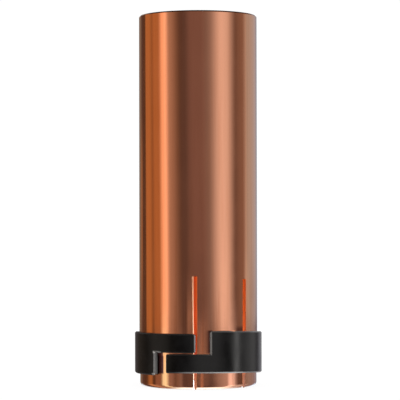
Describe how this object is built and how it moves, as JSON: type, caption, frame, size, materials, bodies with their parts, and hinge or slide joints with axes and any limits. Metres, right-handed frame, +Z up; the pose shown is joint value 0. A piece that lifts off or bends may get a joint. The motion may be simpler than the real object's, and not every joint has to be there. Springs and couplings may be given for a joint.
{
  "type": "mig gas nozzle",
  "caption": "Straight copper gas nozzle for a MIG torch, with a saw-cut spring socket squeezed by a black split band with a stepped lap joint.",
  "frame": {"origin": "centre of the slotted rear end, on the tube's axis, at the surface that the nozzle stands on", "axes": "+Z up along the axis to the front rim, -Y to the front, where the band's lap joint lies"},
  "size_m": [0.0272, 0.0272, 0.079],
  "materials": {
    "copper": "bright drawn and turned copper, lightly polished",
    "black_band": "satin black oxide"
  },
  "bodies": {
    "root": {"nozzle_body": "copper", "clamp_ring": "black_band"}
  },
  "joints": []
}
